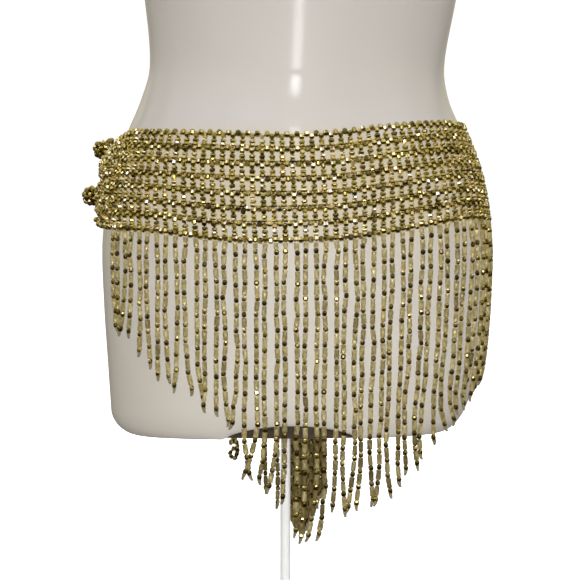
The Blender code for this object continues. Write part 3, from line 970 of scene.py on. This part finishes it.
def add_strand(beads, bugles, tails, column):
    """Bugles and beads by turns, from the bottom row to the last bead, and a frayed end below."""
    *centres, tip = strand_beads(column)
    above = net_point(column, ROWS - 1, rise=-BEAD_WIDTH / 2)
    for k, centre in enumerate(centres):
        # Painted shade: bugles on back strands and below the form get lower tones.
        painted_shade = BACK_PAINTED_SHADE if column > FRONT_LAST_COLUMN else 0.0
        if centre.z < TORSO_BOTTOM:
            painted_shade += LOW_PAINTED_SHADE
        run = centre - above
        taken = FRINGE_BEAD_LENGTH / 2 if k == 0 else FRINGE_BEAD_LENGTH
        length = run.length - taken
        start = above if k == 0 else above + run.normalized() * FRINGE_BEAD_LENGTH / 2
        middle = start + run.normalized() * length / 2
        if length > FRINGE_BEAD_LENGTH / 2:
            width = BUGLE_WIDTH * rng.uniform(*BUGLE_WIDTHS)
            bugles.add(middle, run, width, length * BUGLE_FILL, tone_of_one("bugle", painted_shade))
        below = centres[k + 1] if k + 1 < len(centres) else tip
        axis = (below - above).normalized()
        width = FRINGE_BEAD_WIDTH * rng.uniform(*FRINGE_WIDTHS)
        beads.add(centre, axis, width, FRINGE_BEAD_LENGTH, tone_of_one("fringe"), FRINGE_BEAD_TILT)
        above = centre
    run = tip - above
    inside = FRINGE_BEAD_LENGTH * TAIL_START
    length = run.length - inside
    middle = above + run.normalized() * (inside + length / 2)
    tails.add(middle, -run, TAIL_WIDTH * rng.uniform(*TAIL_WIDTHS), length)


def make_fringe(name, node, first, last, shapes):
    """The netting's bottom row and the strands that hang from it, as one piece."""
    beads, bugles, tails = (Stringing(shape) for shape in shapes)
    for column in range(first, last + 1):
        add_net_bead(beads, column, ROWS - 1, True, -BOTTOM_ZIGZAG, tone_of_one("bottom row"))
        if column < LAST_COLUMN:
            tone = tone_of_one("bottom between")
            add_net_bead(beads, column + 0.5, ROWS - 1, True, BOTTOM_ZIGZAG, tone)
    for column in range(max(first, FIRST_STRAND), min(last, LAST_STRAND) + 1):
        add_strand(beads, bugles, tails, column)
    parts = [beads.make(name), bugles.make(name + "_bugles"), tails.make(name + "_tails")]
    with bpy.context.temp_override(active_object=parts[0], selected_editable_objects=parts):
        bpy.ops.object.join()
    let_light_past(parts[0])
    return settle(parts[0], node)


# ------------------------ the closure


def ball_frame(height, behind):
    """The point on the belt's back end under a ball, and the way the ball points."""
    turn = math.pi - math.asin(behind / (smooth_row(TORSO_SECTIONS, height)[2] + NET_OFFSET))
    face = torso_point(turn, height, NET_OFFSET + BEAD_WIDTH / 2)
    step = torso_point(turn + TURN_STEP, height) - torso_point(turn - TURN_STEP, height)
    outward = Vector((step.y, -step.x, 0.0)).normalized()
    return face, outward


def make_ball(shape, name, height, behind, radius, neck):
    """Beads sewn all over a core, with the tie strings that run from its stem."""
    beads = Stringing(shape)
    face, outward = ball_frame(height, behind)
    centre = face + outward * (SEAM_GAP + neck + radius)
    shell = radius - BEAD_WIDTH * BALL_BEAD_SUNK
    golden = math.pi * (3 - math.sqrt(5))  # the turn that spreads points evenly over a ball
    turn = Vector((0, 0, 1)).rotation_difference(outward).to_matrix()
    for k in range(BALL_BEADS):
        z = 1 - 2 * (k + 0.5) / BALL_BEADS
        reach = math.sqrt(1 - z * z)
        way = turn @ Vector((reach * math.cos(golden * k), reach * math.sin(golden * k), z))
        around = outward.cross(way)
        beads.add(centre + way * shell, around, BEAD_WIDTH, BEAD_WIDTH, tone_of_one("ball"), 0.3)
    beads.add(centre, outward, shell * BALL_CORE, shell * BALL_CORE)  # the dark core
    for k in range(TIE_STRINGS):
        add_tie_string(beads, face + outward * (SEAM_GAP + neck * TIE_START), height, k)
    return settle(beads.make(f"closure_ball_{name}"), f"tie_ball_{name}")


def add_tie_string(beads, start, height, k):
    """A short string of beads from a ball's stem, over the strip's front end, into the netting."""
    spread = 2 * k / (TIE_STRINGS - 1) - 1
    row = (ROWS - 1) * (row_height(0, 0) - height) / (row_height(0, 0) - row_height(0, ROWS - 1))
    nearest, further = TIE_COLUMNS
    ends_at = nearest + further * rng.random()
    end = net_point(ends_at, max(TIE_TOP_ROW, row + TIE_FAN_END * spread), outward=TIE_LIFT_END)
    middle = net_point(0.0, row + TIE_FAN_MIDDLE * spread, outward=TIE_LIFT_MIDDLE)
    fine = 60  # small steps along a curve, of which some end a bead
    point = start
    for n in range(1, fine + 1):
        f = n / fine
        ahead = start * (1 - f) ** 2 + middle * 2 * f * (1 - f) + end * f * f
        step = ahead - point
        if step.length >= TIE_PITCH:
            width = BEAD_WIDTH * TIE_BEAD_WIDTH
            beads.add(point + step / 2, step, width, TIE_PITCH, tone_of_one("tie"), 0.2)
            point = ahead


def make_loop(shape, name, height, behind, radius, neck):
    """A closed loop of beads that passes behind the ball."""
    beads = Stringing(shape)
    face, outward = ball_frame(height, behind)
    plane = face + outward * (SEAM_GAP + neck + radius * LOOP_PAST_NECK)
    level = Vector((outward.y, -outward.x, 0.0))
    forward = level if level.y < 0 else -level
    centre = plane - forward * LOOP_BACKWARD - Vector((0, 0, LOOP_DROP))

    def place(k):
        angle = 2 * math.pi * k / LOOP_BEADS
        point = centre + forward * LOOP_HALF_LENGTH * math.cos(angle)
        point.z += LOOP_HALF_HEIGHT * math.sin(angle)
        return point

    for k in range(LOOP_BEADS):
        axis = place(k + 0.5) - place(k - 0.5)
        beads.add(place(k), axis, BEAD_WIDTH * 0.97, axis.length * 0.99, tone_of_one("loop"), 0.15)
    return settle(beads.make(f"closure_loop_{name}"), f"tie_loop_{name}")


# ------------------------ the room

FRAME_SIDE = 580  # pixels
CAMERA_PLACE = (0.0, -1.8, 0.342)
CAMERA_PITCH = math.radians(1.5)  # down
FOCAL_PIXELS = 2000
FRAME_MIDDLE = 297  # the column of the frame that looks straight ahead
SENSOR = 36.0

MIDDLE = (0.0, 0.0, 0.33)  # what most lamps are aimed at
WHITE = (1.0, 1.0, 1.0)
COOL = (0.90, 0.91, 1.50)  # so that gold beads glint cream

LAMPS = [
    # name, place, aim, width, height, watts, whether it makes glints, colour
    ("ceiling lamp", (-0.5, -1.5, 2.1), MIDDLE, 1.0, 1.0, 7.0, True, COOL),
    ("left lamp", (-1.3, -0.8, 2.0), MIDDLE, 0.8, 0.8, 4.5, True, COOL),
    ("right lamp", (1.3, -0.8, 2.0), MIDDLE, 0.8, 0.8, 4.5, True, COOL),
    ("window", (0.0, -2.3, 0.80), (0.0, 0.0, 0.80), 0.13, 0.70, 3.2, True, WHITE),
    ("lamp", (0.0, -2.3, 1.42), (0.0, 0.0, 0.46), 0.12, 0.15, 1.4, True, WHITE),
    ("fill", (-0.20, -1.6, 0.16), MIDDLE, 1.7, 0.5, 15.5, False, WHITE),
    ("top", (0.0, -0.2, 1.90), MIDDLE, 2.4, 1.6, 6.6, False, WHITE),
    ("right fill", (0.55, -0.60, 0.10), (0.15, 0.0, 0.22), 0.3, 0.3, 0.95, False, WHITE),
    ("back fill", (0.0, 2.0, 0.60), MIDDLE, 1.2, 0.8, 15.0, False, WHITE),
]


def set_camera():
    camera = bpy.data.cameras.new("camera")
    camera.sensor_width = SENSOR
    camera.lens = FOCAL_PIXELS / FRAME_SIDE * SENSOR
    camera.shift_x = (FRAME_SIDE / 2 - FRAME_MIDDLE) / FRAME_SIDE
    obj = bpy.data.objects.new("camera", camera)
    obj.location = CAMERA_PLACE
    obj.rotation_euler = (math.pi / 2 - CAMERA_PITCH, 0, 0)
    bpy.context.scene.collection.objects.link(obj)
    bpy.context.scene.camera = obj


def add_light(name, place, aim, width, height, power, glints, colour):
    """A soft box that either makes glints on shiny pieces or lights the dull ones."""
    light = bpy.data.lights.new(name, "AREA")
    light.shape = "RECTANGLE"
    light.size = width
    light.size_y = height
    light.energy = power
    light.color = colour
    obj = bpy.data.objects.new(name, light)
    obj.location = place
    obj.rotation_euler = (Vector(aim) - Vector(place)).to_track_quat("-Z", "Y").to_euler()
    obj.visible_camera = False
    obj.visible_glossy = glints
    obj.visible_diffuse = not glints
    bpy.context.scene.collection.objects.link(obj)


class Room(Recipe):
    """The world, whose colours follow the way that a ray goes."""

    def __init__(self, world):
        super().__init__(world)
        self.nodes.clear()
        self.direction = self.node("TexCoord").outputs["Generated"]

    def ray_ramp(self, towards, stops):
        """The colour for how far a ray goes towards one way, where 0 is straight away from it."""
        along = self.node("VectorMath")
        along.operation = "DOT_PRODUCT"
        along.inputs[1].default_value = Vector(towards).normalized()
        self.link(self.direction, along.inputs[0])
        return self.ramp(self.map_range(along.outputs["Value"], from_min=-1.0), stops)

    def background(self, colour=None):
        made = self.node("Background")
        if colour is not None:
            self.link(colour, made.inputs["Color"])
        return made, made.outputs["Background"]

    def mix(self, share, first, second):
        """The first shader where the share is 0, and the second where it is 1."""
        both = self.node("MixShader")
        for source, socket in zip((share, first, second), both.inputs):
            self.link(source, socket)
        return both.outputs["Shader"]


BEHIND_TO_FRONT = [
    # how far a ray goes forward and up, colour
    (0.00, (1.10, 1.08, 1.06)),
    (0.30, (0.56, 0.55, 0.54)),
    (0.65, (0.62, 0.61, 0.60)),
    (1.00, (1.00, 0.99, 0.97)),
]
FLOOR_TO_CEILING = [
    # how far a ray goes up, colour
    (0.00, (0.032, 0.026, 0.013)),
    (0.40, (0.075, 0.063, 0.032)),
    (0.47, (0.190, 0.172, 0.105)),
    (0.55, (0.400, 0.372, 0.250)),
    (0.72, (0.850, 0.810, 0.580)),
    (1.00, (0.650, 0.625, 0.480)),
]


def soft_room(room):
    """What lights dull surfaces: brightest from high in front and from low behind."""
    soft, shader = room.background(room.ray_ramp((0.0, -0.6, 0.8), BEHIND_TO_FRONT))
    soft.inputs["Strength"].default_value = 0.66
    return shader


def mirrored_room(room):
    """What shiny surfaces reflect: a light ceiling over a dark floor, in uneven patches."""
    mirrored, shader = room.background(room.ray_ramp((0.0, 0.0, 1.0), FLOOR_TO_CEILING))
    patches = room.noise(3.5, 2.0, room.direction)
    uneven = room.map_range(patches, from_min=0.35, from_max=0.65, to_min=0.35, to_max=1.65)
    room.link(uneven, mirrored.inputs["Strength"])
    return shader


def set_world():
    """White to the eye, with one room that lights dull surfaces and one that shiny ones reflect."""
    world = bpy.data.worlds.new("studio")
    bpy.context.scene.world = world
    room = Room(world)
    path = room.node("LightPath")
    seen, white = room.background()
    seen.inputs["Color"].default_value = (1.0, 1.0, 1.0, 1.0)
    seen.inputs["Strength"].default_value = 1.05
    # The reflected room counts only where the ray has met no dull surface.
    direct, straight = room.node("Math"), room.node("Math")
    direct.operation = "LESS_THAN"
    direct.inputs[1].default_value = 0.5
    straight.operation = "MULTIPLY"
    room.link(path.outputs["Diffuse Depth"], direct.inputs[0])
    room.link(direct.outputs["Value"], straight.inputs[0])
    room.link(path.outputs["Is Glossy Ray"], straight.inputs[1])
    unseen = room.mix(straight.outputs["Value"], soft_room(room), mirrored_room(room))
    whole = room.mix(path.outputs["Is Camera Ray"], unseen, white)
    room.link(whole, room.node("OutputWorld").inputs["Surface"])


def set_floor():
    """A plain pale floor that fades into the white of the room."""
    bm = bmesh.new()
    bmesh.ops.create_grid(bm, x_segments=1, y_segments=1, size=60.0)
    finish = Finish(
        "pale floor", roughness=0.9, base_color=(0.90, 0.90, 0.90, 1.0), emission_strength=1.0
    )
    near = finish.node("TexGradient")
    near.gradient_type = "SPHERICAL"
    finish.link(finish.stretch((0.33, 0.33, 0.33)), near.inputs["Vector"])
    glow = finish.ramp(near.outputs["Fac"], [(0.0, (1.0, 1.0, 1.0)), (0.8, (0.66, 0.66, 0.66))])
    finish.feed(glow, "Emission Color")
    floor = make_object("floor", bm, finish.material)
    floor.visible_glossy = False
    floor.visible_diffuse = False


def light_room():
    for lamp in LAMPS:
        add_light(*lamp)
    set_world()
    set_floor()
    bpy.context.scene.view_settings.view_transform = "Standard"


def main():
    set_camera()
    light_room()
    gold, glass, thread = bead_finish(), bugle_finish(), tail_finish()
    make_torso(form_finish())
    make_plate(plate_finish())
    make_stand(enamel_finish())
    bead = bead_shape(gold)
    net = make_net(bead)
    shapes = (bead, bugle_shape(glass), tail_shape(thread))
    fringes = [
        make_fringe("fringe_strands_front", "fringe_front", 0, FRONT_LAST_COLUMN, shapes),
        make_fringe("fringe_strands_back", "fringe_back", FRONT_LAST_COLUMN + 1, LAST_COLUMN, shapes),
    ]
    for name, *sizes in BALLS:
        make_ball(bead, name, *sizes)
        make_loop(bead, name, *sizes)
    for shape in shapes:
        bpy.data.objects.remove(shape, do_unlink=True)


main()
